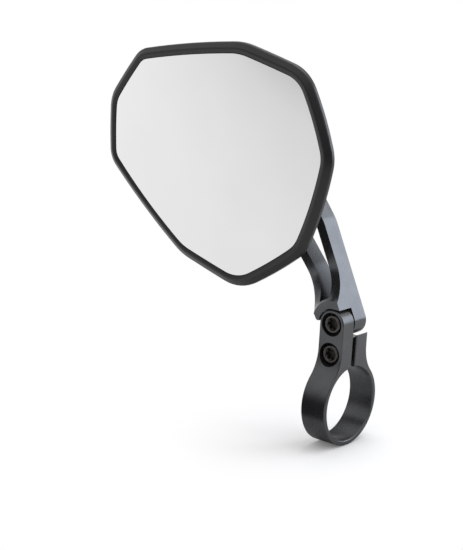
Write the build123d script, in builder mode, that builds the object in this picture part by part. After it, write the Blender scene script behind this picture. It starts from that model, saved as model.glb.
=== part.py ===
from build123d import *
from math import asin, atan2, cos, degrees, hypot, radians, sin, sqrt, tan
import os

os.makedirs("parts", exist_ok=True)

# Bar end mirror for the right side of a motorcycle, in millimetres.
# X runs out along the handlebar, Y to the front of the bike and Z up; the glass looks back along -Y.
# The origin is the centre of the clamp bore.

# Split clamp that closes on a round seat at the bar end
SEAT_D = 35.0
SEAT_ROOM = 0.1  # on the radius, before the clamp is tightened
RING_WALL = 2.4
RING_WIDTH = 13.4
SLIT = 2.8
LUG_DEPTH = 8.4  # each lug, beside the slit
LUG_FILLET = 18.0  # where a lug runs into the ring
CLAMP_RISE = 6.5  # clamp screw's axis above the bore wall
PIVOT_RISE = 14.2  # pivot's axis above the clamp screw's axis
EAR_POCKET = 1.9  # room between the arm's ear and the short rear lug
CLAMP_EDGE = 0.4

# Socket head screws of the clamp, the pivot and the ball stud
SCREW_D = 5.0
SCREW_HEAD_D = 8.5
SCREW_HEAD_H = 5.0
DRIVE_D = 5.6  # socket for a six-lobed key, across opposite lobes
DRIVE_LOBES = 6
DRIVE_LOBE_R = 0.8
DRIVE_DEPTH = 2.6
DRIVE_MOUTH_D = 6.2
DRIVE_CONE = 0.6
SCREW_EDGE = 0.4
SCREW_SINK = 0.5  # head below the face that it is sunk in
SCREW_TAIL = 0.4  # tip below the far face
COUNTERBORE_D = 11.0
HOLE_ROOM = 0.25  # clearance hole, on the radius
THREAD_ROOM = 0.02  # threaded hole, on the radius
RUNNING_ROOM = 0.05  # faces that turn on each other

# Friction washer of the pivot
WASHER_D = 11.0
WASHER_T = 0.45

# Arm: a plate cut into two struts, with a thick collar that rides over the tall lug
ARM_DEPTH = 17.9  # collar's front to the plate's back
STRUT_DEPTH = 9.8
BALL_IN = 47.0  # from the pivot, inboard
BALL_UP = 67.7  # from the pivot
BOSS_R = 11.5
OUTER_BEND_IN = 14.0
OUTER_BEND_UP = 44.1
OUTER_BEND_R = 20.0
INNER_BEND_IN = 20.4
INNER_BEND_UP = 19.0
INNER_BEND_R = 25.0
OUTER_STRUT = 4.8
INNER_STRUT = 4.6
HOOK_IN = 12.7  # where the inner strut turns into the hook
HOOK_UP = 5.4
HEEL_IN = 10.6
HEEL_UP = 3.3
TIP_IN = 8.7
TIP_UP = 0.4
HOOK_ROUND = 0.7
COLLAR_ROOM = 0.6  # between the lug's round top and the collar
COLLAR_R = 10.9
COLLAR_SWEEP = 18.0  # fillet from the collar back to the struts
WINDOW_LAND = 0.9  # collar's edge to the window
WINDOW_TOP = 3.0  # boss to the window
WINDOW_ROUND = 1.0
ARM_EDGE = 0.4

# Ball stud
BALL_D = 14.0
BALL_STAND = 10.8  # ball's centre in front of the struts
NECK_D = 8.0
FLANGE_D = 16.0
FLANGE_T = 2.0
STUD_GRIP = 6.5  # bolt's thread inside the stud
STUD_COUNTERBORE_D = 9.4

# Ball joint inside the head
LINER_T = 1.55
LINER_FLOOR = 1.5  # front liner beyond the ball
LINER_OPENING = 3.6  # rear liner's edge behind the ball's centre
HEAD_SWING = 15.0  # degrees that the head tilts each way
SWING_ROOM = 0.2  # left between the liners at full tilt
SPRING_H = 1.0
SPRING_T = 0.5
SPRING_IN_D = 9.0
SPRING_ROOM = 0.4
RETAINER_T = 1.6
RETAINER_R = 17.5
SMALL_SCREW_COUNT = 3
SMALL_SCREW_R = 13.4  # from the ball's axis
SMALL_SCREW_D = 3.0
SMALL_SCREW_LENGTH = 7.0
SMALL_HEAD_D = 5.6
SMALL_HEAD_ANGLE = 82.0
SMALL_FLATS = 2.0
SMALL_SOCKET_DEPTH = 1.0

# Head's outline: each corner outboard of the ball and above it, its radius, and the bow of the next side
HEAD_CORNERS = (
    (40.4, -33.6, 19.5, 1.7),
    (53.1, 10.8, 19.5, 1.5),
    (35.8, 47.4, 19.5, 0.3),
    (-1.0, 55.7, 34.5, 1.0),
    (-62.2, 45.2, 12.2, 0.4),
    (-79.8, 20.9, 16.2, 0.5),
    (-78.6, -9.1, 12.1, 1.3),
    (-30.7, -47.4, 27.8, 0.2),
    (5.4, -57.4, 22.9, 1.0),
)
HEAD_DEPTH = 15.2  # ball's centre to the rim's ridge
RIM_WIDTH = 4.9
RIM_OUTER = 2.6  # width of the slope outside the ridge
RIM_INNER = 1.4  # width of the slope towards the glass
RIM_BEVEL = 1.8  # fall of the outer slope
RIM_DIP = 0.35  # fall of the inner slope
RIM_WALL = 2.0  # straight side behind the outer slope
RIM_ROUND = 1.0  # from the side to the outer slope
RIDGE_OUTER_R = 1.2
RIDGE_INNER_R = 2.4
BACK_MID_SCALE = 0.72
BACK_MID_DEPTH = 5.0
BACK_TOP_SCALE = 0.36
BACK_TOP_DEPTH = 9.6
BACK_WALL = 2.2
BACK_INSIDE = 0.95  # share of the back's outline that the hollow keeps
SOCKET_R = 12.4  # outside of the ball's socket
SOCKET_END = 4.6  # socket's mouth behind the ball's centre
SOCKET_FLARE = 4.4
SOCKET_EDGE = 0.6
SOCKET_BOSS_R = 19.0  # inside the head, under the retainer

# Convex glass and the foam pad that bonds it
GLASS_T = 2.0
GLASS_ROOM = 0.3
GLASS_SPHERE = 1400.0
GLASS_CROWN = 0.8  # middle of the glass in front of the ridge
GLASS_MIDDLE_IN = 13.0  # from the ball, inboard
GLASS_BED = 3.6  # ridge to the ledge
GLASS_LEDGE = 2.6
PAD_MARGIN = 0.7
PAD_ROOM = 0.02

# Places that follow from the sizes
BORE_R = SEAT_D / 2 + SEAT_ROOM
RING_R = BORE_R + RING_WALL
LUG_FACE = SLIT / 2 + LUG_DEPTH
CLAMP_Z = BORE_R + CLAMP_RISE
PIVOT_Z = CLAMP_Z + PIVOT_RISE
EAR_R = RING_WIDTH / 2
SCREW_R = SCREW_D / 2
SCREW_SEAT = SCREW_SINK + SCREW_HEAD_H
EAR_FRONT = -SLIT / 2 + WASHER_T + RUNNING_ROOM
ARM_BACK = ARM_DEPTH - LUG_FACE
STRUT_FRONT = ARM_BACK - STRUT_DEPTH
BALL_X = -BALL_IN
BALL_Y = STRUT_FRONT - BALL_STAND
BALL_Z = PIVOT_Z + BALL_UP
BALL_R = BALL_D / 2
LINER_IN_R = BALL_R + RUNNING_ROOM
LINER_R = LINER_IN_R + LINER_T
POCKET_R = LINER_R + RUNNING_ROOM
LINER_FRONT = BALL_Y - BALL_R - LINER_FLOOR
RETAINER_BACK = LINER_FRONT - RUNNING_ROOM - SPRING_H
RETAINER_FRONT = RETAINER_BACK - RETAINER_T
RIM_FRONT = BALL_Y - HEAD_DEPTH
RIM_EDGE = RIM_FRONT + RIM_BEVEL
RIM_BACK = RIM_EDGE + RIM_WALL
RIM_LIP = RIM_FRONT + RIM_DIP
BACK_MID = RIM_BACK + BACK_MID_DEPTH
BACK_TOP = RIM_BACK + BACK_TOP_DEPTH
LEDGE = RIM_FRONT + GLASS_BED
SOCKET_MOUTH = BALL_Y + SOCKET_END
GLASS_INSET = RIM_WIDTH + GLASS_ROOM

PIVOT = (0.0, PIVOT_Z)
BALL = (BALL_X, BALL_Z)
BALL_CENTRE = (BALL_X, BALL_Y, BALL_Z)
PIVOT_AXIS = Axis((0, 0, PIVOT_Z), (0, 1, 0))
BALL_AXIS = Axis(BALL_CENTRE, (0, 1, 0))
# Half plane through the ball's axis: sketches on it read Y and the distance from the axis
BALL_SECTION = Plane(origin=(BALL_X, 0, BALL_Z), x_dir=(0, 1, 0), z_dir=(1, 0, 0))
FROM_TOP = (Align.CENTER, Align.CENTER, Align.MAX)
GLASS_CENTRE = (BALL_X - GLASS_MIDDLE_IN, RIM_FRONT - GLASS_CROWN + GLASS_SPHERE, BALL_Z)


def plane_at(y):
    """Plane across Y that faces the rider; sketches on it read X and Z."""
    return Plane.XZ.offset(-y)


def from_pivot(inboard, up):
    """Point of the arm's outline."""
    return (-inboard, PIVOT_Z + up)


def touch(point, centre, radius, side):
    """Where a line from a point touches a circle: side is 1 left of the way to its centre, or -1 right."""
    away = (centre[0] - point[0], centre[1] - point[1])
    distance = hypot(*away)
    heading = atan2(away[1], away[0]) + side * asin(radius / distance)
    length = sqrt(distance**2 - radius**2)
    return (point[0] + length * cos(heading), point[1] + length * sin(heading))


def beside(start, end, distance):
    """A line moved to its left."""
    length = hypot(end[0] - start[0], end[1] - start[1])
    across = (start[1] - end[1]) * distance / length
    along = (end[0] - start[0]) * distance / length
    return (start[0] + across, start[1] + along), (end[0] + across, end[1] + along)


def crossing(first, second):
    """Where two lines meet."""
    (ax, ay), (bx, by) = first
    (cx, cy), (dx, dy) = second
    share = ((cx - ax) * (dy - cy) - (cy - ay) * (dx - cx)) / ((bx - ax) * (dy - cy) - (by - ay) * (dx - cx))
    return (ax + share * (bx - ax), ay + share * (by - ay))


def corner_at(sketch, point):
    """The corner of a sketch that lies at a point."""
    return sketch.vertices().sort_by_distance(Vector(*point))[0]


def side_circle(start, end, bow):
    """Centre and radius of a side that bows out to the right of its way."""
    across, up = end[0] - start[0], end[1] - start[1]
    chord = hypot(across, up)
    radius = chord**2 / (8 * bow) + bow / 2
    sink = (radius - bow) / chord
    return ((start[0] + end[0]) / 2 - up * sink, (start[1] + end[1]) / 2 + across * sink), radius


def circle_crossing(first, second, near):
    """Where two circles meet, on the side of a point."""
    (ax, ay), first_r = first
    (bx, by), second_r = second
    apart = hypot(bx - ax, by - ay)
    along = (first_r**2 - second_r**2 + apart**2) / (2 * apart**2)
    off = sqrt((first_r / apart) ** 2 - along**2)
    foot = Vector(ax + along * (bx - ax), ay + along * (by - ay))
    step = Vector(off * (ay - by), off * (bx - ax))
    return min((foot + step, foot - step), key=lambda point: (point - Vector(*near)).length)


def head_outline(y, inset=0.0, share=1.0):
    """The head's outline at a depth, set in evenly or shrunk towards the ball."""
    corners = [(BALL_X + x * share, BALL_Z + z * share) for x, z, _, _ in HEAD_CORNERS]
    bows = [bow * share for _, _, _, bow in HEAD_CORNERS]
    full = [side_circle(*side) for side in zip(corners, corners[1:] + corners[:1], bows)]
    sides = [(centre, radius - inset) for centre, radius in full]
    meetings = zip(sides[-1:] + sides[:-1], sides, corners)
    points = [circle_crossing(*meeting) for meeting in meetings]
    with BuildSketch(plane_at(y)) as outline:
        with BuildLine():
            for start, end, (_, radius) in zip(points, points[1:] + points[:1], sides):
                RadiusArc(start, end, -radius)
        make_face()
        for point, (_, _, radius, _) in zip(points, HEAD_CORNERS):
            fillet(corner_at(outline, (point.X, point.Y)), radius * share - inset)
    return outline.sketch


def cap_screw(seat, length):
    """Socket head screw: its head stands on the seat plane and its shank goes down from it."""
    drive_root_r = DRIVE_D / 2 - DRIVE_LOBE_R
    with BuildPart() as screw:
        with BuildSketch(seat):
            Circle(SCREW_HEAD_D / 2)
        extrude(amount=SCREW_HEAD_H)
        with BuildSketch(seat):
            Circle(SCREW_R)
        extrude(amount=-length)
        ends = screw.faces().filter_by(GeomType.PLANE).sort_by(Axis(seat.origin, seat.z_dir))
        chamfer(ends[0].edges() + ends[-1].edges(), SCREW_EDGE)
        with BuildSketch(seat.offset(SCREW_HEAD_H)):
            Circle(drive_root_r)
            with PolarLocations(drive_root_r, DRIVE_LOBES):
                Circle(DRIVE_LOBE_R)
        extrude(amount=-DRIVE_DEPTH, mode=Mode.SUBTRACT)
        mouth_r = DRIVE_MOUTH_D / 2
        with Locations(seat.offset(SCREW_HEAD_H)):
            Cone(mouth_r - DRIVE_CONE, mouth_r, DRIVE_CONE, align=FROM_TOP, mode=Mode.SUBTRACT)
    return screw.part


# Clamp ring: one profile along the bore, then the lugs are shaped and drilled across it
with BuildPart() as clamp_ring:
    with BuildSketch(Plane.YZ.offset(-RING_WIDTH / 2)) as ring_profile:
        Circle(RING_R)
        with Locations((0, (PIVOT_Z + EAR_R) / 2)):
            Rectangle(2 * LUG_FACE, PIVOT_Z + EAR_R)
        lug_foot = sqrt(RING_R**2 - LUG_FACE**2)
        fillet([corner_at(ring_profile, (side * LUG_FACE, lug_foot)) for side in (-1, 1)], LUG_FILLET)
        Circle(BORE_R, mode=Mode.SUBTRACT)
        with Locations((0, PIVOT_Z)):
            Rectangle(SLIT, 2 * PIVOT_Z, mode=Mode.SUBTRACT)
    extrude(amount=RING_WIDTH)
    with BuildSketch(Plane.XZ):
        with Locations((0, PIVOT_Z + EAR_R)):
            Rectangle(4 * EAR_R, 2 * EAR_R)
        with Locations(PIVOT):
            Circle(EAR_R, mode=Mode.SUBTRACT)
    extrude(amount=2 * LUG_FACE, mode=Mode.SUBTRACT)
    with BuildSketch(Plane.XZ):
        with Locations(PIVOT):
            Circle(EAR_R + EAR_POCKET)
        with Locations((0, PIVOT_Z + EAR_R)):
            Rectangle(4 * EAR_R, 2 * EAR_R)
    extrude(amount=-2 * LUG_FACE, mode=Mode.SUBTRACT)
    sides = clamp_ring.faces().filter_by(Axis.X).group_by(Axis.X)
    front = clamp_ring.faces().filter_by(Axis.Y).sort_by(Axis.Y)[0]
    chamfer(sides[0].edges() + sides[-1].edges() + front.edges(), CLAMP_EDGE)
    with Locations(plane_at(-LUG_FACE)):
        with Locations(PIVOT):
            CounterBoreHole(SCREW_R + RUNNING_ROOM, COUNTERBORE_D / 2, SCREW_SEAT, LUG_DEPTH)
        with Locations((0, CLAMP_Z)):
            CounterBoreHole(SCREW_R + HOLE_ROOM, COUNTERBORE_D / 2, SCREW_SEAT, LUG_DEPTH)
            Hole(SCREW_R + THREAD_ROOM)
clamp_ring.part.label = "clamp_ring"
export_step(clamp_ring.part, "parts/clamp_ring.step")

clamp_seat = Plane(origin=(0, SCREW_SEAT - LUG_FACE, CLAMP_Z), x_dir=(1, 0, 0), z_dir=(0, -1, 0))
with BuildPart() as clamp_screw:
    add(cap_screw(clamp_seat, 2 * LUG_FACE - SCREW_SEAT - SCREW_TAIL))
clamp_screw.part.label = "clamp_screw"
export_step(clamp_screw.part, "parts/clamp_screw.step")

pivot_seat_y = SCREW_SEAT - LUG_FACE - RUNNING_ROOM
pivot_seat = Plane(origin=(0, pivot_seat_y, PIVOT_Z), x_dir=(1, 0, 0), z_dir=(0, -1, 0))
with BuildPart() as pivot_screw:
    add(cap_screw(pivot_seat, ARM_DEPTH - SCREW_SEAT + RUNNING_ROOM - SCREW_TAIL))
pivot_screw.part.label = "pivot_screw"
export_step(pivot_screw.part, "parts/pivot_screw.step")

with BuildPart() as pivot_washer:
    with BuildSketch(plane_at(-SLIT / 2 + WASHER_T)):
        with Locations(PIVOT):
            Circle(WASHER_D / 2)
            Circle(SCREW_R + HOLE_ROOM, mode=Mode.SUBTRACT)
    extrude(amount=WASHER_T)
pivot_washer.part.label = "pivot_washer"
export_step(pivot_washer.part, "parts/pivot_washer.step")

# The arm's outline runs from the ear up the outer strut, round the boss and down the inner strut to the hook
outer_bend = from_pivot(OUTER_BEND_IN, OUTER_BEND_UP)
inner_bend = from_pivot(INNER_BEND_IN, INNER_BEND_UP)
hook = from_pivot(HOOK_IN, HOOK_UP)
heel = from_pivot(HEEL_IN, HEEL_UP)
tip = from_pivot(TIP_IN, TIP_UP)
ear_side = touch(outer_bend, PIVOT, EAR_R, 1)
boss_outer = touch(outer_bend, BALL, BOSS_R, -1)
boss_inner = touch(inner_bend, BALL, BOSS_R, 1)

with BuildSketch(plane_at(ARM_BACK)) as arm_outline:
    with BuildLine():
        outer_side = (PIVOT, ear_side, outer_bend, boss_outer, BALL)
        inner_side = (boss_inner, inner_bend, hook, heel, tip)
        Polyline(*outer_side, *inner_side, close=True)
    make_face()
    fillet(corner_at(arm_outline, outer_bend), OUTER_BEND_R)
    fillet(corner_at(arm_outline, inner_bend), INNER_BEND_R)
    fillet([corner_at(arm_outline, heel), corner_at(arm_outline, tip)], HOOK_ROUND)
    with Locations(PIVOT):
        Circle(EAR_R)
    with Locations(BALL):
        Circle(BOSS_R)

# The window's long sides lie a strut's width inside the outline
outer_low = beside(ear_side, outer_bend, OUTER_STRUT)
outer_high = beside(outer_bend, boss_outer, OUTER_STRUT)
inner_high = beside(boss_inner, inner_bend, INNER_STRUT)
inner_low = beside(inner_bend, hook, INNER_STRUT)
outer_turn = crossing(outer_low, outer_high)
inner_turn = crossing(inner_high, inner_low)
window_low_r = COLLAR_R + WINDOW_LAND
window_top_r = BOSS_R + WINDOW_TOP

with BuildSketch(plane_at(ARM_BACK)) as window:
    with BuildLine():
        outer_side = (PIVOT, outer_low[0], outer_turn, outer_high[1], BALL)
        inner_side = (inner_high[0], inner_turn, inner_low[1])
        Polyline(*outer_side, *inner_side, close=True)
    make_face()
    fillet(corner_at(window, outer_turn), OUTER_BEND_R - OUTER_STRUT)
    fillet(corner_at(window, inner_turn), INNER_BEND_R + INNER_STRUT)
    with Locations(PIVOT):
        Circle(window_low_r, mode=Mode.SUBTRACT)
    with Locations(BALL):
        Circle(window_top_r, mode=Mode.SUBTRACT)
    fillet(window.edges().filter_by(GeomType.CIRCLE).group_by(Axis.Y)[0].vertices(), WINDOW_ROUND)
    fillet(window.edges().filter_by(GeomType.CIRCLE).group_by(Axis.Y)[-1].vertices(), WINDOW_ROUND)

# The collar is turned about the pivot, with a wide fillet back to the struts
collar_top = PIVOT_Z + COLLAR_R
collar_drop = STRUT_FRONT + LUG_FACE
sweep_reach = sqrt(COLLAR_SWEEP**2 - (COLLAR_SWEEP - collar_drop) ** 2)
sweep_angle = degrees(asin(sweep_reach / COLLAR_SWEEP))
collar_in_r = EAR_R + COLLAR_ROOM

with BuildPart() as arm:
    with BuildSketch(Plane.YZ):
        with BuildLine():
            sweep_centre = (STRUT_FRONT - COLLAR_SWEEP, collar_top + sweep_reach)
            sweep = CenterArc(sweep_centre, COLLAR_SWEEP, -sweep_angle, sweep_angle)
            Polyline(sweep @ 0, (-LUG_FACE, PIVOT_Z), (STRUT_FRONT, PIVOT_Z), sweep @ 1)
        make_face()
    revolve(axis=PIVOT_AXIS)
    extrude(arm_outline.sketch, amount=ARM_DEPTH, mode=Mode.INTERSECT)
    extrude(arm_outline.sketch, amount=STRUT_DEPTH)
    extrude(window.sketch, amount=ARM_DEPTH, mode=Mode.SUBTRACT)
    # The tall lug turns inside the collar and in front of the ear
    with BuildSketch(plane_at(EAR_FRONT)):
        with Locations(PIVOT):
            Circle(collar_in_r)
        with Locations((2 * EAR_R, PIVOT_Z + collar_in_r - 2 * EAR_R)):
            Rectangle(4 * EAR_R, 4 * EAR_R)
        with Locations((0, PIVOT_Z + TIP_UP - 2 * EAR_R)):
            Rectangle(8 * EAR_R, 4 * EAR_R)
    extrude(amount=ARM_DEPTH, mode=Mode.SUBTRACT)
    chamfer(arm.faces().filter_by(Axis.Y).sort_by(Axis.Y)[-1].edges(), ARM_EDGE)
    with Locations(plane_at(EAR_FRONT)):
        with Locations(PIVOT):
            Hole(SCREW_R + THREAD_ROOM)
    with Locations(Plane(origin=(BALL_X, ARM_BACK, BALL_Z), x_dir=(1, 0, 0), z_dir=(0, 1, 0))):
        CounterBoreHole(SCREW_R + HOLE_ROOM, STUD_COUNTERBORE_D / 2, SCREW_SEAT)
arm.part.label = "arm"
export_step(arm.part, "parts/arm.step")

# Ball stud: a flange on the arm's boss, a neck and the ball, threaded from behind
with BuildPart() as ball_stud:
    with BuildSketch(BALL_SECTION):
        with BuildLine():
            flange_front = STRUT_FRONT - FLANGE_T
            Polyline(
                (BALL_Y, 0),
                (STRUT_FRONT, 0),
                (STRUT_FRONT, FLANGE_D / 2),
                (flange_front, FLANGE_D / 2),
                (flange_front, NECK_D / 2),
                (BALL_Y, NECK_D / 2),
                close=True,
            )
        make_face()
    revolve(axis=BALL_AXIS)
    with Locations(BALL_CENTRE):
        Sphere(BALL_R)
    with BuildSketch(plane_at(STRUT_FRONT)):
        with Locations(BALL):
            Circle(SCREW_R + THREAD_ROOM)
    extrude(amount=STUD_GRIP + SCREW_TAIL, mode=Mode.SUBTRACT)
ball_stud.part.label = "ball_stud"
export_step(ball_stud.part, "parts/ball_stud.step")

stud_seat = Plane(origin=(BALL_X, ARM_BACK - SCREW_SEAT, BALL_Z), x_dir=(1, 0, 0), z_dir=(0, 1, 0))
with BuildPart() as stud_bolt:
    add(cap_screw(stud_seat, STRUT_DEPTH - SCREW_SEAT + STUD_GRIP))
stud_bolt.part.label = "stud_bolt"
export_step(stud_bolt.part, "parts/stud_bolt.step")

# The two liners leave a gap round the ball's middle, so that one can tilt against the other
swing = radians(HEAD_SWING)
liner_split = LINER_R * sin(swing) / (1 + cos(swing)) + SWING_ROOM

with BuildPart() as ball_liner_rear:
    with BuildSketch(plane_at(BALL_Y + LINER_OPENING)):
        with Locations(BALL):
            Circle(LINER_R)
    extrude(amount=LINER_OPENING - liner_split)
    with Locations(BALL_CENTRE):
        Sphere(LINER_R, mode=Mode.INTERSECT)
        Sphere(LINER_IN_R, mode=Mode.SUBTRACT)
ball_liner_rear.part.label = "ball_liner_rear"
export_step(ball_liner_rear.part, "parts/ball_liner_rear.step")

with BuildPart() as ball_liner_front:
    with BuildSketch(plane_at(BALL_Y - liner_split)):
        with Locations(BALL):
            Circle(LINER_R)
    extrude(amount=BALL_R + LINER_FLOOR - liner_split)
    with Locations(BALL_CENTRE):
        Sphere(LINER_IN_R, mode=Mode.SUBTRACT)
ball_liner_front.part.label = "ball_liner_front"
export_step(ball_liner_front.part, "parts/ball_liner_front.step")

# Disc spring that presses the front liner on the ball
with BuildPart() as liner_spring:
    with BuildSketch(BALL_SECTION):
        with BuildLine():
            spring_out_r = POCKET_R - SPRING_ROOM
            Polyline(
                (RETAINER_BACK, SPRING_IN_D / 2),
                (RETAINER_BACK + SPRING_T, SPRING_IN_D / 2),
                (RETAINER_BACK + SPRING_H, spring_out_r),
                (RETAINER_BACK + SPRING_H - SPRING_T, spring_out_r),
                close=True,
            )
        make_face()
    revolve(axis=BALL_AXIS)
liner_spring.part.label = "liner_spring"
export_step(liner_spring.part, "parts/liner_spring.step")

retainer_face = Plane(origin=(BALL_X, RETAINER_FRONT, BALL_Z), x_dir=(1, 0, 0), z_dir=(0, -1, 0))

with BuildPart() as ball_retainer:
    with BuildSketch(retainer_face):
        Circle(RETAINER_R)
    extrude(amount=-RETAINER_T)
    with Locations(retainer_face):
        with PolarLocations(SMALL_SCREW_R, SMALL_SCREW_COUNT, start_angle=90):
            CounterSinkHole(
                SMALL_SCREW_D / 2 + HOLE_ROOM,
                SMALL_HEAD_D / 2 + THREAD_ROOM,
                counter_sink_angle=SMALL_HEAD_ANGLE,
            )
ball_retainer.part.label = "ball_retainer"
export_step(ball_retainer.part, "parts/ball_retainer.step")

with BuildPart() as retainer_screws:
    head_depth = (SMALL_HEAD_D - SMALL_SCREW_D) / 2 / tan(radians(SMALL_HEAD_ANGLE / 2))
    with Locations(retainer_face):
        with PolarLocations(SMALL_SCREW_R, SMALL_SCREW_COUNT, start_angle=90):
            Cylinder(SMALL_SCREW_D / 2, SMALL_SCREW_LENGTH, align=FROM_TOP)
            Cone(SMALL_SCREW_D / 2, SMALL_HEAD_D / 2, head_depth, align=FROM_TOP)
    with BuildSketch(retainer_face):
        with PolarLocations(SMALL_SCREW_R, SMALL_SCREW_COUNT, start_angle=90):
            RegularPolygon(SMALL_FLATS / 2, 6, major_radius=False)
    extrude(amount=-SMALL_SOCKET_DEPTH, mode=Mode.SUBTRACT)
retainer_screws.part.label = "retainer_screws"
export_step(retainer_screws.part, "parts/retainer_screws.step")

# Housing: a lofted hollow back, a rim with a ridge and the ball's socket
with BuildPart() as mirror_housing:
    loft(
        [
            head_outline(RIM_BACK),
            head_outline(BACK_MID, 0, BACK_MID_SCALE),
            head_outline(BACK_TOP, 0, BACK_TOP_SCALE),
        ]
    )
    extrude(head_outline(RIM_BACK), amount=RIM_WALL)
    loft([head_outline(RIM_EDGE), head_outline(RIM_FRONT, RIM_OUTER)], ruled=True)
    inner_slope = [head_outline(RIM_LIP, RIM_WIDTH), head_outline(RIM_FRONT, RIM_WIDTH - RIM_INNER)]
    loft(inner_slope, ruled=True, mode=Mode.SUBTRACT)
    fillet(mirror_housing.edges().filter_by_position(Axis.Y, RIM_EDGE, RIM_EDGE), RIM_ROUND)
    ridge = mirror_housing.faces().filter_by(Axis.Y).sort_by(Axis.Y)[0]
    fillet(ridge.outer_wire().edges(), RIDGE_OUTER_R)
    ridge = mirror_housing.faces().filter_by(Axis.Y).sort_by(Axis.Y)[0]
    fillet(ridge.inner_wires()[0].edges(), RIDGE_INNER_R)
    loft(
        [
            head_outline(LEDGE, RIM_WIDTH + GLASS_LEDGE),
            head_outline(BACK_MID - BACK_WALL, 0, BACK_MID_SCALE * BACK_INSIDE),
            head_outline(BACK_TOP - BACK_WALL, 0, BACK_TOP_SCALE * BACK_INSIDE),
        ],
        mode=Mode.SUBTRACT,
    )
    extrude(head_outline(LEDGE, RIM_WIDTH), amount=2 * GLASS_BED, mode=Mode.SUBTRACT)
    with BuildSketch(plane_at(BACK_TOP - BACK_WALL)):
        with Locations(BALL):
            Circle(SOCKET_BOSS_R)
    extrude(amount=BACK_TOP - BACK_WALL - RETAINER_BACK)
    with BuildSketch(BALL_SECTION):
        with BuildLine():
            flare = CenterArc((BACK_TOP + SOCKET_FLARE, SOCKET_R + SOCKET_FLARE), SOCKET_FLARE, 180, 90)
            Polyline(
                flare @ 0,
                (BACK_TOP - BACK_WALL, SOCKET_R + SOCKET_FLARE),
                (BACK_TOP - BACK_WALL, 0),
                (SOCKET_MOUTH, 0),
                (SOCKET_MOUTH, SOCKET_R - SOCKET_EDGE),
                (SOCKET_MOUTH - SOCKET_EDGE, SOCKET_R),
                flare @ 1,
            )
        make_face()
    revolve(axis=BALL_AXIS)
    with BuildSketch(plane_at(BALL_Y)):
        with Locations(BALL):
            Circle(POCKET_R)
    extrude(amount=BALL_Y - RETAINER_BACK, mode=Mode.SUBTRACT)
    with Locations(BALL_CENTRE):
        Sphere(POCKET_R, mode=Mode.SUBTRACT)
    with Locations(retainer_face):
        with PolarLocations(SMALL_SCREW_R, SMALL_SCREW_COUNT, start_angle=90):
            Hole(SMALL_SCREW_D / 2 + THREAD_ROOM, depth=SMALL_SCREW_LENGTH + SCREW_TAIL)
mirror_housing.part.label = "mirror_housing"
export_step(mirror_housing.part, "parts/mirror_housing.step")

with BuildPart() as glass_pad:
    extrude(head_outline(LEDGE, GLASS_INSET + PAD_MARGIN), amount=GLASS_BED)
    with Locations(GLASS_CENTRE):
        Sphere(GLASS_SPHERE - GLASS_T - PAD_ROOM, mode=Mode.INTERSECT)
glass_pad.part.label = "glass_pad"
export_step(glass_pad.part, "parts/glass_pad.step")

with BuildPart() as mirror_glass:
    extrude(head_outline(LEDGE, GLASS_INSET), amount=2 * GLASS_BED)
    with Locations(GLASS_CENTRE):
        Sphere(GLASS_SPHERE, mode=Mode.INTERSECT)
        Sphere(GLASS_SPHERE - GLASS_T, mode=Mode.SUBTRACT)
mirror_glass.part.label = "mirror_glass"
export_step(mirror_glass.part, "parts/mirror_glass.step")
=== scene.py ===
# %% [markdown]
# # A bar end mirror in the studio
# This lesson dresses a finished CAD model of a motorcycle mirror: an angular head on a ball joint, an arm cut
# into struts, and a split clamp for the end of the handlebar. The shapes come from the CAD frame, in metres,
# so nothing has to be fitted by eye. Blender adds softened edges, the finishes, the light and the camera.

# %% Load the frame
from math import radians
import bpy
from mathutils import Euler, Matrix, Vector


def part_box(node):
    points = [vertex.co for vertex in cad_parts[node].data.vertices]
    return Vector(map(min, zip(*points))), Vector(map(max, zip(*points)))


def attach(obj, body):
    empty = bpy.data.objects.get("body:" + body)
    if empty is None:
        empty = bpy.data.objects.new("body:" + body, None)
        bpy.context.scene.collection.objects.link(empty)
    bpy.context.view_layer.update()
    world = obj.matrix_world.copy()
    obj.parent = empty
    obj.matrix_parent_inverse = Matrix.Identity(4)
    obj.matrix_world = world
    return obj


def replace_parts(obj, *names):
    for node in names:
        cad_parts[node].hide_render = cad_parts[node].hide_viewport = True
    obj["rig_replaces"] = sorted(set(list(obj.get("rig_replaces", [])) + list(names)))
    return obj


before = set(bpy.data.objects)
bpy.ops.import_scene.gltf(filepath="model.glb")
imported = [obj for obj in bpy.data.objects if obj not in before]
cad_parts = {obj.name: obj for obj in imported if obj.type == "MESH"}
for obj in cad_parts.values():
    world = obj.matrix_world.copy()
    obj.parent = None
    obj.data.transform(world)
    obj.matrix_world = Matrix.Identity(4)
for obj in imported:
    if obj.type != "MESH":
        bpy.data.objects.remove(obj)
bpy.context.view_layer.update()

MM = 0.001

# %% [markdown]
# ## The camera
# The mirror is seen from the rider's side, from the right and a little above, through a long lens that keeps
# its edges nearly parallel. A camera can be aimed with a tracking constraint. Here the place and the angles
# are known, so they are written down: a turn about Z, a tip down, then a small roll. The image is 463 by 550,
# taller than it is wide, and the sensor is fitted to its longer side.

# %% Camera at the photograph's angle
CAMERA_PLACE = (0.438934, -0.623582, 0.253564)
CAMERA_TURN = 39.098  # degrees about Z
CAMERA_ABOVE = 14.489  # degrees that it tips down
CAMERA_ROLL = 3.139  # degrees about its own line of sight
SENSOR = 36.0  # millimetres
LENS = 113.23  # millimetres
NEAREST = 0.01
FARTHEST = 50.0

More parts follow.
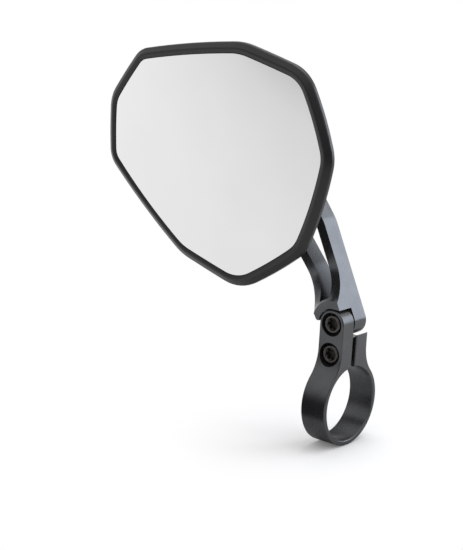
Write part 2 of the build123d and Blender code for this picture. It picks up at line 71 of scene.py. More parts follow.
bpy.ops.object.select_all(action="DESELECT")
bpy.ops.object.camera_add(location=CAMERA_PLACE)
camera = bpy.context.object
camera.name = "studio_camera"
aim = Euler((radians(90 - CAMERA_ABOVE), 0, radians(CAMERA_TURN))).to_matrix()
camera.rotation_euler = (aim @ Matrix.Rotation(radians(CAMERA_ROLL), 3, "Z")).to_euler()
camera.data.sensor_fit = "AUTO"
camera.data.sensor_width = SENSOR
camera.data.lens = LENS
camera.data.clip_start = NEAREST
camera.data.clip_end = FARTHEST
bpy.context.scene.camera = camera
bpy.context.scene.view_settings.view_transform = "Standard"
print("camera", round(camera.location.length, 3), "m from the clamp")

# %% [markdown]
# ## Softened edges
# Milled and deburred metal never ends in a perfect edge: a fraction of a millimetre is broken off, and that
# narrow round catches a line of light. The CAD solids have sharp edges there. A shader can fake the round,
# but then the exported mesh would still be sharp, so a copy of each machined piece in view gets real bevels.
# The copy's loose triangles are merged, its flat areas become single faces, a Bevel modifier works on the
# sharp edges alone, and a Weighted Normal modifier keeps the flat faces flat.

# %% A copy of a CAD node with softened edges
MERGE_MM = 0.002
FLAT_ANGLE = radians(0.4)
SHARP_ANGLE = radians(28)
BEVEL_STEPS = 2


def softened(node_name, piece_name, body, edge_mm):
    """Stands a copy with narrow bevels in for a CAD node."""
    piece = bpy.data.objects.new(piece_name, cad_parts[node_name].data.copy())
    bpy.context.collection.objects.link(piece)
    bpy.ops.object.select_all(action="DESELECT")
    piece.select_set(True)
    bpy.context.view_layer.objects.active = piece
    bpy.ops.mesh.customdata_custom_splitnormals_clear()
    bpy.ops.object.mode_set(mode="EDIT")
    bpy.ops.mesh.select_all(action="SELECT")
    bpy.ops.mesh.remove_doubles(threshold=MERGE_MM * MM)
    bpy.ops.mesh.dissolve_limited(angle_limit=FLAT_ANGLE)
    bpy.ops.object.mode_set(mode="OBJECT")
    bpy.ops.object.shade_smooth_by_angle(angle=SHARP_ANGLE)
    bevel = piece.modifiers.new("broken_edges", "BEVEL")
    bevel.width = edge_mm * MM
    bevel.segments = BEVEL_STEPS
    bevel.limit_method = "ANGLE"
    bevel.angle_limit = SHARP_ANGLE
    bpy.ops.object.modifier_apply(modifier=bevel.name)
    weights = piece.modifiers.new("flat_faces", "WEIGHTED_NORMAL")
    weights.keep_sharp = True
    bpy.ops.object.modifier_apply(modifier=weights.name)
    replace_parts(piece, node_name)
    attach(piece, body)
    print(piece_name, "has", len(piece.data.polygons), "faces")
    return piece


# %% The arm, the clamp and its two screws
ARM_EDGE_MM = 0.22
CLAMP_EDGE_MM = 0.28
SCREW_EDGE_MM = 0.10

arm = softened("arm", "milled_arm", "arm", ARM_EDGE_MM)
clamp = softened("clamp_ring", "split_clamp", "clamp", CLAMP_EDGE_MM)
pivot_screw = softened("pivot_screw", "pivot_cap_screw", "arm", SCREW_EDGE_MM)
clamp_screw = softened("clamp_screw", "clamp_cap_screw", "clamp", SCREW_EDGE_MM)

# %% [markdown]
# ## Colours and nodes
# A hex colour is written in sRGB, the way a screen shows it, while shaders count in linear light. One
# function turns the first into the second. A second small function adds a node, with its settings, its
# values and the sockets that feed it, so that every material below reads as a list of its nodes.

# %% Helpers for colours and nodes
def linear(hex_colour):
    """Linear RGBA of an sRGB colour such as #8E949B."""
    parts = [int(hex_colour[i:i + 2], 16) / 255 for i in (1, 3, 5)]
    return [c / 12.92 if c <= 0.04045 else ((c + 0.055) / 1.055) ** 2.4 for c in parts] + [1.0]


def add_node(tree, kind, inputs=None, **settings):
    """Adds a node; an input is a value, or another node's output to link."""
    node = tree.nodes.new(kind)
    for name, value in settings.items():
        setattr(node, name, value)
    for socket, value in (inputs or {}).items():
        if isinstance(value, bpy.types.NodeSocket):
            tree.links.new(value, node.inputs[socket])
        else:
            node.inputs[socket].default_value = value
    return node


def new_material(name):
    """An empty node material and its tree."""
    material = bpy.data.materials.new(name)
    material.use_nodes = True
    material.node_tree.nodes.clear()
    return material, material.node_tree


def per_metre(size_mm):
    """Texture scale at which one feature is about this many millimetres."""
    return 1.0 / (size_mm * MM)


print("mid grey #808080 is", round(linear("#808080")[0], 3), "in linear light")

# %% [markdown]
# ## Black anodised aluminium
# The arm and the clamp are milled from aluminium bar and anodised black. The dyed oxide swallows most of the
# light but keeps the metal's sheen, so the faces turned to a lamp look pale grey and the others nearly black.
# It could be a dark paint with a gloss coat, but a paint mirrors far less at this angle. A dark metal with a
# low, slightly uneven roughness gives that strong change from face to face. The arm keeps its fine mill
# lines, while the clamp was blasted first and is duller, so one function makes both, each with its own
# roughness.

# %% Anodised aluminium
NOISE_LOW, NOISE_HIGH = 0.3, 0.7  # most of a noise texture lies between these
CLOUD_MM = 9.0
BLAST_MM = 0.45  # real pits are under 0.1 mm; drawn coarser, so that a pixel can show them
PIT_BUMP = 0.03
MILL_LINE_MM = 0.5  # real tool lines lie about 0.1 mm apart; drawn coarser for the same reason
MILL_LINE_LONG_MM = 9.0
LINE_BUMP = 0.16
BUMP_MM = 0.03


def anodised_finish(name, smoothest, roughest):
    """Black anodised metal; returns the material, its tree, its tones and its shader."""
    material, tree = new_material(name)
    place = add_node(tree, "ShaderNodeTexCoord")
    cloud = add_node(tree, "ShaderNodeTexNoise", {
        "Vector": place.outputs["Object"], "Scale": per_metre(CLOUD_MM), "Detail": 3.0})
    blast = add_node(tree, "ShaderNodeTexNoise", {
        "Vector": place.outputs["Object"], "Scale": per_metre(BLAST_MM), "Detail": 2.0})
    stretch = add_node(tree, "ShaderNodeMapping", {
        "Vector": place.outputs["Object"],
        "Scale": (per_metre(MILL_LINE_MM), per_metre(MILL_LINE_MM), per_metre(MILL_LINE_LONG_MM))})
    lines = add_node(tree, "ShaderNodeTexNoise", {
        "Vector": stretch.outputs["Vector"], "Scale": 1.0, "Detail": 2.0})
    # The dye takes a little unevenly, which the eye reads as depth in the black
    tone = add_node(tree, "ShaderNodeValToRGB", {"Fac": cloud.outputs["Fac"]})
    tone.color_ramp.elements[0].position = NOISE_LOW
    tone.color_ramp.elements[0].color = linear("#555658")
    tone.color_ramp.elements[1].position = NOISE_HIGH
    tone.color_ramp.elements[1].color = linear("#5D5E60")
    sheen = add_node(tree, "ShaderNodeMapRange", {
        "Value": lines.outputs["Fac"], "From Min": NOISE_LOW, "From Max": NOISE_HIGH,
        "To Min": smoothest, "To Max": roughest})
    pits = add_node(tree, "ShaderNodeBump", {
        "Height": blast.outputs["Fac"], "Strength": PIT_BUMP, "Distance": BUMP_MM * MM})
    ridges = add_node(tree, "ShaderNodeBump", {
        "Height": lines.outputs["Fac"], "Strength": LINE_BUMP, "Distance": BUMP_MM * MM,
        "Normal": pits.outputs["Normal"]})
    surface = add_node(tree, "ShaderNodeBsdfPrincipled", {
        "Base Color": tone.outputs["Color"], "Metallic": 0.85, "Roughness": sheen.outputs["Result"],
        "Normal": ridges.outputs["Normal"]})
    add_node(tree, "ShaderNodeOutputMaterial", {"Surface": surface.outputs["BSDF"]})
    print("made", name)
    return material, tree, tone, surface


# %% The arm's finish and the clamp's
ARM_ROUGHNESS = (0.19, 0.26)
CLAMP_ROUGHNESS = (0.26, 0.33)

anodised_arm = anodised_finish("black_anodised_aluminium_milled", *ARM_ROUGHNESS)[0]
anodised_clamp = anodised_finish("black_anodised_aluminium_blasted", *CLAMP_ROUGHNESS)[0]

# %% [markdown]
# ## Inside the arm's window
# The two struts stand close together above the pivot, and little light gets far down between them, so the
# walls go from dark grey at the top to black at the foot. That could be left to the light alone, but a rough
# metal picks up too much from the sides. Here the same finish gets painted shade: a fade to black, which runs
# upwards and to the back.

# %% Anodised aluminium with painted shade towards the window's foot
UP_AND_BACK = (0.0, 1.0, 1.0)
FOOT_MM = 47.0  # height plus depth at which the wall is black
OPEN_MM = 80.0  # and at which it has its full tone
FADE_POWER = 1.6

window_painted_shade, tree, tone, surface = anodised_finish("black_anodised_aluminium_window_painted_shade", *ARM_ROUGHNESS)
place = add_node(tree, "ShaderNodeTexCoord")
upwards = add_node(tree, "ShaderNodeVectorMath", {
    0: place.outputs["Object"], 1: UP_AND_BACK}, operation="DOT_PRODUCT")
openness = add_node(tree, "ShaderNodeMapRange", {
    "Value": upwards.outputs["Value"], "From Min": FOOT_MM * MM, "From Max": OPEN_MM * MM})
curved = add_node(tree, "ShaderNodeMath", {
    0: openness.outputs["Result"], 1: FADE_POWER}, operation="POWER")
# Painted shade: near black at the window's foot, so the walls read as a deep slot
deep = add_node(tree, "ShaderNodeMix", {
    "Factor": curved.outputs["Value"], "A": linear("#101010"), "B": tone.outputs["Color"]},
    data_type="RGBA")
tree.links.new(deep.outputs["Result"], surface.inputs["Base Color"])
print("the window's walls are black below", FOOT_MM, "mm")

# %% [markdown]
# ## Satin black of the head
# The head is a die casting under satin black powder coat. Powder melts into a skin that is slightly wavy,
# like the peel of an orange, so reflections on the rim break up softly. A plain dark plastic would look alike
# from far away. The fine waves and a mid roughness keep it from looking like wet paint near by.

# %% Satin powder coat
PEEL_MM = 0.8
PEEL_BUMP = 0.12
COAT_CLOUD_MM = 14.0
COAT_ROUGHNESS = (0.30, 0.38)
COAT_IOR = 1.54

satin_black, tree = new_material("black_powder_coat_satin")
place = add_node(tree, "ShaderNodeTexCoord")
peel = add_node(tree, "ShaderNodeTexNoise", {
    "Vector": place.outputs["Object"], "Scale": per_metre(PEEL_MM), "Detail": 2.0})
cloud = add_node(tree, "ShaderNodeTexNoise", {
    "Vector": place.outputs["Object"], "Scale": per_metre(COAT_CLOUD_MM), "Detail": 2.0})
# A deep neutral black: the coat's own colour adds little, and its gloss draws the rim's slopes
tone = add_node(tree, "ShaderNodeValToRGB", {"Fac": cloud.outputs["Fac"]})
tone.color_ramp.elements[0].position = NOISE_LOW
tone.color_ramp.elements[0].color = linear("#0F0F0F")
tone.color_ramp.elements[1].position = NOISE_HIGH
tone.color_ramp.elements[1].color = linear("#151514")
sheen = add_node(tree, "ShaderNodeMapRange", {
    "Value": peel.outputs["Fac"], "From Min": NOISE_LOW, "From Max": NOISE_HIGH,
    "To Min": COAT_ROUGHNESS[0], "To Max": COAT_ROUGHNESS[1]})
orange_peel = add_node(tree, "ShaderNodeBump", {
    "Height": peel.outputs["Fac"], "Strength": PEEL_BUMP, "Distance": BUMP_MM * MM})
surface = add_node(tree, "ShaderNodeBsdfPrincipled", {
    "Base Color": tone.outputs["Color"], "Metallic": 0.0, "Roughness": sheen.outputs["Result"],
    "IOR": COAT_IOR, "Normal": orange_peel.outputs["Normal"]})
add_node(tree, "ShaderNodeOutputMaterial", {"Surface": surface.outputs["BSDF"]})
print("made", satin_black.name)

# %% [markdown]
# ## Black oxide steel
# The screws are hardened steel, blackened in a hot bath of salts and then oiled. The skin could be a black
# paint, but it is thinner and browner than that, so the steel's shine comes through and the turned heads show
# a soft ring of light. A dark metal does that. A screw's socket gets a rougher and darker finish of its own,
# which is painted shade, so that it reads as a hole.

# %% Black oxide steel
BLOOM_MM = 1.5
BLOOM_HIGH = 0.75
OXIDE_ROUGHNESS = (0.26, 0.38)

black_oxide, tree = new_material("black_oxide_steel_oiled")
place = add_node(tree, "ShaderNodeTexCoord")
bloom = add_node(tree, "ShaderNodeTexNoise", {
    "Vector": place.outputs["Object"], "Scale": per_metre(BLOOM_MM), "Detail": 4.0})
# Brown-black patches from the bath, with a thin oily shine
tone = add_node(tree, "ShaderNodeValToRGB", {"Fac": bloom.outputs["Fac"]})
tone.color_ramp.elements[0].position = NOISE_LOW
tone.color_ramp.elements[0].color = linear("#4A4846")
tone.color_ramp.elements[1].position = BLOOM_HIGH
tone.color_ramp.elements[1].color = linear("#5B5957")
sheen = add_node(tree, "ShaderNodeMapRange", {
    "Value": bloom.outputs["Fac"], "From Min": NOISE_LOW, "From Max": NOISE_HIGH,
    "To Min": OXIDE_ROUGHNESS[0], "To Max": OXIDE_ROUGHNESS[1]})
surface = add_node(tree, "ShaderNodeBsdfPrincipled", {
    "Base Color": tone.outputs["Color"], "Metallic": 1.0, "Roughness": sheen.outputs["Result"]})
add_node(tree, "ShaderNodeOutputMaterial", {"Surface": surface.outputs["BSDF"]})
print("made", black_oxide.name)

# %% Painted shade in a screw's socket
SOCKET_MOTTLE_MM = 0.6

socket_painted_shade, tree = new_material("black_oxide_socket_painted_shade")
place = add_node(tree, "ShaderNodeTexCoord")
socket_mottle = add_node(tree, "ShaderNodeTexNoise", {
    "Vector": place.outputs["Object"], "Scale": per_metre(SOCKET_MOTTLE_MM), "Detail": 3.0})
# Painted shade: dull and dark, so the socket looks like a hole
tone = add_node(tree, "ShaderNodeValToRGB", {"Fac": socket_mottle.outputs["Fac"]})
tone.color_ramp.elements[0].color = linear("#2B2A28")
tone.color_ramp.elements[1].color = linear("#3E3C39")
surface = add_node(tree, "ShaderNodeBsdfPrincipled", {
    "Base Color": tone.outputs["Color"], "Metallic": 0.6, "Roughness": 0.55})
add_node(tree, "ShaderNodeOutputMaterial", {"Surface": surface.outputs["BSDF"]})
print("made", socket_painted_shade.name)

# %% [markdown]
# ## Bright steel
# The ball stud is turned steel, and the disc spring and the retainer are pressed from sheet. All are left
# bright. An even polished metal would do at a glance, but a lathe leaves fine lines. They run round the
# ball's axis, which is Y, so the pattern is squeezed in Y and drawn out across it.

# %% Bright steel
TURNING_MM = 0.35
TURNING_LONG_MM = 6.0
STEEL_ROUGHNESS = (0.18, 0.30)

bright_steel, tree = new_material("bright_steel_turned")
place = add_node(tree, "ShaderNodeTexCoord")
squeeze = add_node(tree, "ShaderNodeMapping", {
    "Vector": place.outputs["Object"],
    "Scale": (per_metre(TURNING_LONG_MM), per_metre(TURNING_MM), per_metre(TURNING_LONG_MM))})
turning = add_node(tree, "ShaderNodeTexNoise", {
    "Vector": squeeze.outputs["Vector"], "Scale": 1.0, "Detail": 3.0})
# Turned steel: a clear but softened mirror, striped by the tool
tone = add_node(tree, "ShaderNodeValToRGB", {"Fac": turning.outputs["Fac"]})
tone.color_ramp.elements[0].color = linear("#A9ABAE")
tone.color_ramp.elements[1].color = linear("#C6C7C9")
sheen = add_node(tree, "ShaderNodeMapRange", {
    "Value": turning.outputs["Fac"], "From Min": NOISE_LOW, "From Max": NOISE_HIGH,
    "To Min": STEEL_ROUGHNESS[0], "To Max": STEEL_ROUGHNESS[1]})
surface = add_node(tree, "ShaderNodeBsdfPrincipled", {
    "Base Color": tone.outputs["Color"], "Metallic": 1.0, "Roughness": sheen.outputs["Result"]})
add_node(tree, "ShaderNodeOutputMaterial", {"Surface": surface.outputs["BSDF"]})
print("made", bright_steel.name)

# %% [markdown]
# ## Nylon
# The liners round the ball and the pivot's washer are moulded from natural nylon, which slides on metal
# without grease. It is creamy, slightly see-through and dull. Light inside the plastic could be traced with
# subsurface scattering, but these pieces sit inside, so a simple mottled plastic is enough.

# %% Nylon
FLOW_MM = 3.0
NYLON_ROUGHNESS = (0.42, 0.52)
NYLON_IOR = 1.53

nylon, tree = new_material("natural_nylon_moulded")
place = add_node(tree, "ShaderNodeTexCoord")
flow = add_node(tree, "ShaderNodeTexNoise", {
    "Vector": place.outputs["Object"], "Scale": per_metre(FLOW_MM), "Detail": 2.0})
# Milky and warm, with faint clouds where the melt flowed
tone = add_node(tree, "ShaderNodeValToRGB", {"Fac": flow.outputs["Fac"]})
tone.color_ramp.elements[0].color = linear("#D2CEC0")
tone.color_ramp.elements[1].color = linear("#E2DFD4")
sheen = add_node(tree, "ShaderNodeMapRange", {
    "Value": flow.outputs["Fac"], "From Min": NOISE_LOW, "From Max": NOISE_HIGH,
    "To Min": NYLON_ROUGHNESS[0], "To Max": NYLON_ROUGHNESS[1]})
surface = add_node(tree, "ShaderNodeBsdfPrincipled", {
    "Base Color": tone.outputs["Color"], "Roughness": sheen.outputs["Result"], "IOR": NYLON_IOR})
add_node(tree, "ShaderNodeOutputMaterial", {"Surface": surface.outputs["BSDF"]})
print("made", nylon.name)

# %% [markdown]
# ## Foam pad
# The glass is stuck to the head by a pad of black closed-cell foam. Its cells could be modelled one by one,
# but only its edge could ever be seen, as a matt black line, so a pattern of cells of their real size and a
# rough surface are all that it needs.

# %% Foam pad
CELL_MM = 0.4
CELL_BUMP = 0.5
CELL_DEEP_MM = 0.1

foam, tree = new_material("black_foam_closed_cell")
place = add_node(tree, "ShaderNodeTexCoord")
cells = add_node(tree, "ShaderNodeTexVoronoi", {
    "Vector": place.outputs["Object"], "Scale": per_metre(CELL_MM)})
# Small dark cells that take the shine off the black
tone = add_node(tree, "ShaderNodeValToRGB", {"Fac": cells.outputs["Distance"]})
tone.color_ramp.elements[0].color = linear("#0C0C0C")
tone.color_ramp.elements[1].color = linear("#1E1E1E")
hollows = add_node(tree, "ShaderNodeBump", {
    "Height": cells.outputs["Distance"], "Strength": CELL_BUMP, "Distance": CELL_DEEP_MM * MM})
surface = add_node(tree, "ShaderNodeBsdfPrincipled", {
    "Base Color": tone.outputs["Color"], "Roughness": 0.9, "Normal": hollows.outputs["Normal"]})
add_node(tree, "ShaderNodeOutputMaterial", {"Surface": surface.outputs["BSDF"]})
print("made", foam.name)

# %% [markdown]
# ## Mirror glass
# The glass is convex float glass, silvered behind and sealed with paint. It could be modelled as clear glass
# over a metal film, but at this thickness the eye sees only the film, so the whole pane is a pale metal.
# Float glass has a trace of green in it, and a handled mirror has a faint haze in patches, which blurs what
# it shows a little.

# %% Mirror glass
HAZE_MM = 40.0
GLASS_ROUGHNESS = (0.02, 0.06)

silvered, tree = new_material("silvered_float_glass")
place = add_node(tree, "ShaderNodeTexCoord")
haze = add_node(tree, "ShaderNodeTexNoise", {
    "Vector": place.outputs["Object"], "Scale": per_metre(HAZE_MM), "Detail": 2.0})
# A cool pale mirror that shows the white studio
tone = add_node(tree, "ShaderNodeValToRGB", {"Fac": haze.outputs["Fac"]})
tone.color_ramp.elements[0].position = NOISE_LOW
tone.color_ramp.elements[0].color = linear("#F0F1F0")
tone.color_ramp.elements[1].position = NOISE_HIGH
tone.color_ramp.elements[1].color = linear("#F4F5F4")
sheen = add_node(tree, "ShaderNodeMapRange", {
    "Value": haze.outputs["Fac"], "From Min": NOISE_LOW, "From Max": NOISE_HIGH,
    "To Min": GLASS_ROUGHNESS[0], "To Max": GLASS_ROUGHNESS[1]})
surface = add_node(tree, "ShaderNodeBsdfPrincipled", {
    "Base Color": tone.outputs["Color"], "Metallic": 1.0, "Roughness": sheen.outputs["Result"]})
add_node(tree, "ShaderNodeOutputMaterial", {"Surface": surface.outputs["BSDF"]})
print("made", silvered.name)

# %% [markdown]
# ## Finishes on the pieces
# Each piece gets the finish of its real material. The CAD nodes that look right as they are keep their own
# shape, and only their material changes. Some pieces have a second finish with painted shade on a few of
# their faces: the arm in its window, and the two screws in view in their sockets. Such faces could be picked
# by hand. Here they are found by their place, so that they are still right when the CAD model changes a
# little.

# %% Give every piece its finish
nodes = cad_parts
finishes = {
    anodised_arm: [arm],
    anodised_clamp: [clamp],
    black_oxide: [pivot_screw, clamp_screw, nodes["stud_bolt"], nodes["retainer_screws"]],
    satin_black: [nodes["mirror_housing"]],
    bright_steel: [nodes["ball_stud"], nodes["liner_spring"], nodes["ball_retainer"]],
    nylon: [nodes["pivot_washer"], nodes["ball_liner_rear"], nodes["ball_liner_front"]],
    foam: [nodes["glass_pad"]],
    silvered: [nodes["mirror_glass"]],
}
for finish, dressed in finishes.items():
    for piece in dressed:
        piece.data.materials.clear()
        piece.data.materials.append(finish)
    print(finish.name, "on", [piece.name for piece in dressed])

# %% Find the walls of the arm's window, which get the painted shade
WINDOW_WIDE_MM = 14.0  # no gap between the struts is wider
CLEAR_MM = 0.05
FLAT_SIDE = 0.3  # the walls hardly face front or back

bpy.context.view_layer.update()
# The window's walls get the finish with painted shade
arm.data.materials.append(window_painted_shade)
walls = 0
for face in arm.data.polygons:
    # A wall is a face that looks straight at another part of the arm
    start = face.center + face.normal * CLEAR_MM * MM
    meets_arm = arm.ray_cast(start, face.normal, distance=WINDOW_WIDE_MM * MM)[0]
    if meets_arm and abs(face.normal.y) < FLAT_SIDE:
        face.material_index = 1
        walls += 1
print("the window has", walls, "wall faces")

# %% Paint shade into the sockets of the two screws in view
SOCKET_R_MM = 2.86  # lobes of the socket
SOCKET_FROM_MM = 0.15  # behind the head's front
SOCKET_TO_MM = 4.0

for screw in (pivot_screw, clamp_screw):
    screw.data.materials.append(socket_painted_shade)
    low, high = (Vector(corner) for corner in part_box(screw["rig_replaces"][0]))
    middle = (low + high) / 2
    blackened = 0
    for face in screw.data.polygons:
        off_axis = Vector((face.center.x - middle.x, face.center.z - middle.z)).length
        in_head = low.y + SOCKET_FROM_MM * MM < face.center.y < low.y + SOCKET_TO_MM * MM
        if in_head and off_axis < SOCKET_R_MM * MM:
            face.material_index = 1
            blackened += 1
    print(screw.name, "has", blackened, "socket faces")

# %% [markdown]
# ## The paper floor
# The mirror stands on its clamp ring on a sheet of white paper. A real sweep of paper bends up behind the
# object. A flat sheet that fades to plain white does the same job, and has no far edge. Near the object the
# paper is a plain matt surface, so it keeps the soft shadow, with a little lift to white. Mirrors have to
# show the paper too, and there it carries painted shade: in the metal it is greyer near the clamp, and it
# dims to the right and to the front, as paper does away from a window.

# %% The sheet
FLOOR_SIZE = 14.0

floor_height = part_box("clamp_ring")[0][2]
bpy.ops.object.select_all(action="DESELECT")
bpy.ops.mesh.primitive_plane_add(size=FLOOR_SIZE, location=(0, 0, floor_height))
floor = bpy.context.object
floor.name = "studio_floor"
bpy.ops.object.transform_apply(location=True, rotation=True, scale=True)
print("floor at", round(floor_height / MM, 2), "mm")

# %% Paper near the object
PAPER_SEEN = "#EDEDED"
# Painted shade: paper that metal mirrors is darker than paper that the camera sees
PAPER_MIRRORED = "#BEBEBE"
PAPER_LIFT = 0.13

paper, tree = new_material("white_paper_floor")
place = add_node(tree, "ShaderNodeTexCoord")
ray = add_node(tree, "ShaderNodeLightPath")
mirrored = add_node(tree, "ShaderNodeMath", {
    0: ray.outputs["Is Glossy Ray"], 1: ray.outputs["Is Transmission Ray"]}, operation="MAXIMUM")
# Uncoated paper: white and without any shine, so it shows nothing but light and shadow
paper_tone = add_node(tree, "ShaderNodeMix", {
    "Factor": mirrored.outputs["Value"], "A": linear(PAPER_SEEN), "B": linear(PAPER_MIRRORED)},
    data_type="RGBA")
matt = add_node(tree, "ShaderNodeBsdfDiffuse", {"Color": paper_tone.outputs["Result"]})
lift = add_node(tree, "ShaderNodeMath", {
    0: ray.outputs["Is Camera Ray"], 1: PAPER_LIFT}, operation="MULTIPLY")
glow = add_node(tree, "ShaderNodeEmission", {"Strength": lift.outputs["Value"]})
near = add_node(tree, "ShaderNodeAddShader", {0: matt.outputs["BSDF"], 1: glow.outputs["Emission"]})
print("made the near part of", paper.name)

# %% Paper further away
RIGHT_AND_FRONT = (1.0, -1.0, 0.0)
# Painted shade for mirrored rays: the far paper dims to the right and the front
PAPER_SHADES = [(-0.25, 0.96), (0.35, 0.74), (1.0, 0.25)]  # metres that way, and brightness

across = add_node(tree, "ShaderNodeVectorMath", {
    0: place.outputs["Object"], 1: RIGHT_AND_FRONT}, operation="DOT_PRODUCT")
first, last = PAPER_SHADES[0][0], PAPER_SHADES[-1][0]
along = add_node(tree, "ShaderNodeMapRange", {
    "Value": across.outputs["Value"], "From Min": first, "From Max": last})
evenness = add_node(tree, "ShaderNodeValToRGB", {"Fac": along.outputs["Result"]})
# A ramp starts with two stops; the third gets its place in the loop
evenness.color_ramp.elements.new(0.5)
for stop, (metres, shade) in zip(evenness.color_ramp.elements, PAPER_SHADES):
    stop.position = (metres - first) / (last - first)
    stop.color = (shade, shade, shade, 1.0)
white = add_node(tree, "ShaderNodeMath", {
    0: evenness.outputs["Color"], 1: ray.outputs["Is Camera Ray"]}, operation="MAXIMUM")
far = add_node(tree, "ShaderNodeEmission", {"Strength": white.outputs["Value"]})
print("made the far part of", paper.name)

# %% The fade between them
FADE_START = 0.030
FADE_END = 0.085
# Mirrored rays see the darker near paper further out, which spreads the painted shade
MIRRORED_FADE_END = 0.20

away = add_node(tree, "ShaderNodeVectorMath", {0: place.outputs["Object"]}, operation="LENGTH")
reach = add_node(tree, "ShaderNodeMapRange", {
    "Value": mirrored.outputs["Value"], "To Min": FADE_END, "To Max": MIRRORED_FADE_END})
fade = add_node(tree, "ShaderNodeMapRange", {
    "Value": away.outputs["Value"], "From Min": FADE_START, "From Max": reach.outputs["Result"]},
    interpolation_type="SMOOTHSTEP")
seen = add_node(tree, "ShaderNodeMath", {
    0: ray.outputs["Is Camera Ray"], 1: mirrored.outputs["Value"]}, operation="MAXIMUM")
share = add_node(tree, "ShaderNodeMath", {
    0: fade.outputs["Result"], 1: seen.outputs["Value"]}, operation="MULTIPLY")
sheet = add_node(tree, "ShaderNodeMixShader", {
    0: share.outputs["Value"], 1: near.outputs["Shader"], 2: far.outputs["Emission"]})
add_node(tree, "ShaderNodeOutputMaterial", {"Surface": sheet.outputs["Shader"]})
floor.data.materials.append(paper)
print("the paper is plain white from", round(FADE_END / MM), "mm")

# %% [markdown]
# ## The room
# The table stands in a dim room under a bright ceiling. The dim part is what gives black metal its shape,
# because a black thing shows mostly what is around it. A sky texture would be too busy, so the world is one
# smooth fade from low to high, leaning a little to the left and back, and plain white where the camera looks
# straight at it.

# %% World
ROOM_LOW = 0.18
ROOM_HIGH = 0.84
BRIGHT_WAY = (-0.2, 0.25, 0.95)  # up, and a little left and back
DIM_BELOW = -0.15  # share of that way in a ray's direction
BRIGHT_ABOVE = 0.45

world = bpy.data.worlds.new("studio_room")
bpy.context.scene.world = world
world.use_nodes = True
tree = world.node_tree
tree.nodes.clear()
ray = add_node(tree, "ShaderNodeLightPath")
place = add_node(tree, "ShaderNodeTexCoord")
towards = add_node(tree, "ShaderNodeVectorMath", {
    0: place.outputs["Generated"], 1: BRIGHT_WAY}, operation="DOT_PRODUCT")
room = add_node(tree, "ShaderNodeMapRange", {
    "Value": towards.outputs["Value"], "From Min": DIM_BELOW, "From Max": BRIGHT_ABOVE,
    "To Min": ROOM_LOW, "To Max": ROOM_HIGH})
shown = add_node(tree, "ShaderNodeMath", {
    0: room.outputs["Result"], 1: ray.outputs["Is Camera Ray"]}, operation="MAXIMUM")
air = add_node(tree, "ShaderNodeBackground", {
    "Color": linear("#FFFFFF"), "Strength": shown.outputs["Value"]})
add_node(tree, "ShaderNodeOutputWorld", {"Surface": air.outputs["Background"]})
print("the room's light goes from", ROOM_LOW, "to", ROOM_HIGH)

# %% [markdown]
# ## Softboxes
# Two soft lamps do the rest. One hangs above and gives the even light and the soft shadow. The other stands
# behind on the right, cool like daylight: the arm's outer side mirrors it straight into the camera, which
# makes that side pale blue-grey. Small bright lamps would light the scene as well, but metal would show them
# as spots. A lamp's brightness as it is mirrored is its power over its area and pi, so a large lamp needs
# more watts to look the same.

# %% Lamps
LAMP_AIM = Vector((0.0, 0.0, 0.06))


def softbox(name, place, size, power, colour):
    """An area lamp that looks at the middle of the object."""
    bpy.ops.object.light_add(type="AREA", location=place)
    lamp = bpy.context.object
    lamp.name = name
    lamp.data.shape = "RECTANGLE"
    lamp.data.size, lamp.data.size_y = size
    lamp.data.energy = power
    lamp.data.color = linear(colour)[:3]
    lamp.visible_camera = False
    lamp.rotation_euler = (LAMP_AIM - lamp.location).to_track_quat("-Z", "Y").to_euler()
    print(name, "at", place)


softbox("top_softbox", place=(-0.05, 0.25, 1.15), size=(0.8, 0.8), power=3.8, colour="#FFFFFF")
softbox("back_right_softbox", place=(0.74, 0.96, 0.42), size=(0.95, 0.72), power=6.8, colour="#E9F1FF")

# %% [markdown]
# ## Black cards
# Photographers set small black cards beside dark round metal, out of the picture, so that its curves get dark
# stripes. Without them the clamp ring looks flat, outside and in its bore. A card's edges have to be soft, or
# they show as lines in the metal, so each one thins out towards its edges. Only mirrored rays see these
# cards: they throw no shadow.

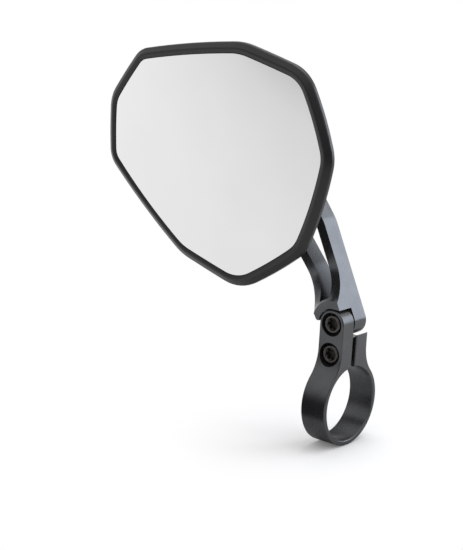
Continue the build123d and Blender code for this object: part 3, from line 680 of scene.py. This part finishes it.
# %% An upright card
def upright_card(name, axis, offset, along, heights):
    """A card along X or Y that only mirrored rays see, from the first to the last of along and heights."""
    bpy.ops.object.select_all(action="DESELECT")
    bpy.ops.mesh.primitive_plane_add(size=1.0)
    card = bpy.context.object
    card.name = name
    length = along[-1] - along[0]
    rise = heights[-1] - heights[0]
    middle = along[0] + length / 2
    centre = heights[0] + rise / 2
    card.scale = (length, rise, 1.0)
    if axis == "X":
        card.rotation_euler = (radians(90), 0, 0)
        card.location = (middle, offset, centre)
    else:
        card.rotation_euler = (radians(90), 0, radians(90))
        card.location = (offset, middle, centre)
    bpy.ops.object.transform_apply(location=True, rotation=True, scale=True)
    card.visible_camera = False
    card.visible_diffuse = False
    card.visible_shadow = False
    print(name, "is", round(length / MM), "mm long and", round(rise / MM), "mm high")
    return card


# %% Felt that thins out
def soft_felt(name, axis, along, heights, thinness):
    """Black felt, solid between the two middle values of along and of heights."""
    felt, tree = new_material(name)
    place = add_node(tree, "ShaderNodeTexCoord")
    split = add_node(tree, "ShaderNodeSeparateXYZ", {"Vector": place.outputs["Object"]})
    thinned = thinness
    for way, (start, solid_from, solid_to, end) in ((axis, along), ("Z", heights)):
        for solid, edge in ((solid_from, start), (solid_to, end)):
            fade = add_node(tree, "ShaderNodeMapRange", {
                "Value": split.outputs[way], "From Min": solid, "From Max": edge},
                interpolation_type="SMOOTHSTEP")
            most = add_node(tree, "ShaderNodeMath", {
                0: fade.outputs["Result"], 1: thinned}, operation="MAXIMUM")
            thinned = most.outputs["Value"]
    # Felt has no shine at all, so the metal shows it as plain black
    nap = add_node(tree, "ShaderNodeBsdfDiffuse", {"Color": linear("#0A0A0A"), "Roughness": 1.0})
    gone = add_node(tree, "ShaderNodeBsdfTransparent")
    soft = add_node(tree, "ShaderNodeMixShader", {
        0: thinned, 1: nap.outputs["BSDF"], 2: gone.outputs["BSDF"]})
    add_node(tree, "ShaderNodeOutputMaterial", {"Surface": soft.outputs["Shader"]})
    print("made", name)
    return felt


# %% Cards in front of the ring and behind it
CARDS = {  # metres; up counts from the floor
    "black_card": {
        "axis": "X", "offset": -0.033, "thinness": 0.0,
        "along": (-0.052, -0.024, 0.0035, 0.004), "up": (0.0, 0.004, 0.022, 0.036)},
    "black_side_card": {
        "axis": "Y", "offset": -0.028, "thinness": 0.15,
        "along": (0.0, 0.010, 0.034, 0.044), "up": (0.0, 0.012, 0.034, 0.050)},
}

for name, plan in CARDS.items():
    heights = [floor_height + up for up in plan["up"]]
    card = upright_card(name, plan["axis"], plan["offset"], plan["along"], heights)
    felt = soft_felt(name + "_felt", plan["axis"], plan["along"], heights, plan["thinness"])
    card.data.materials.append(felt)

# %% Finish
print("done")
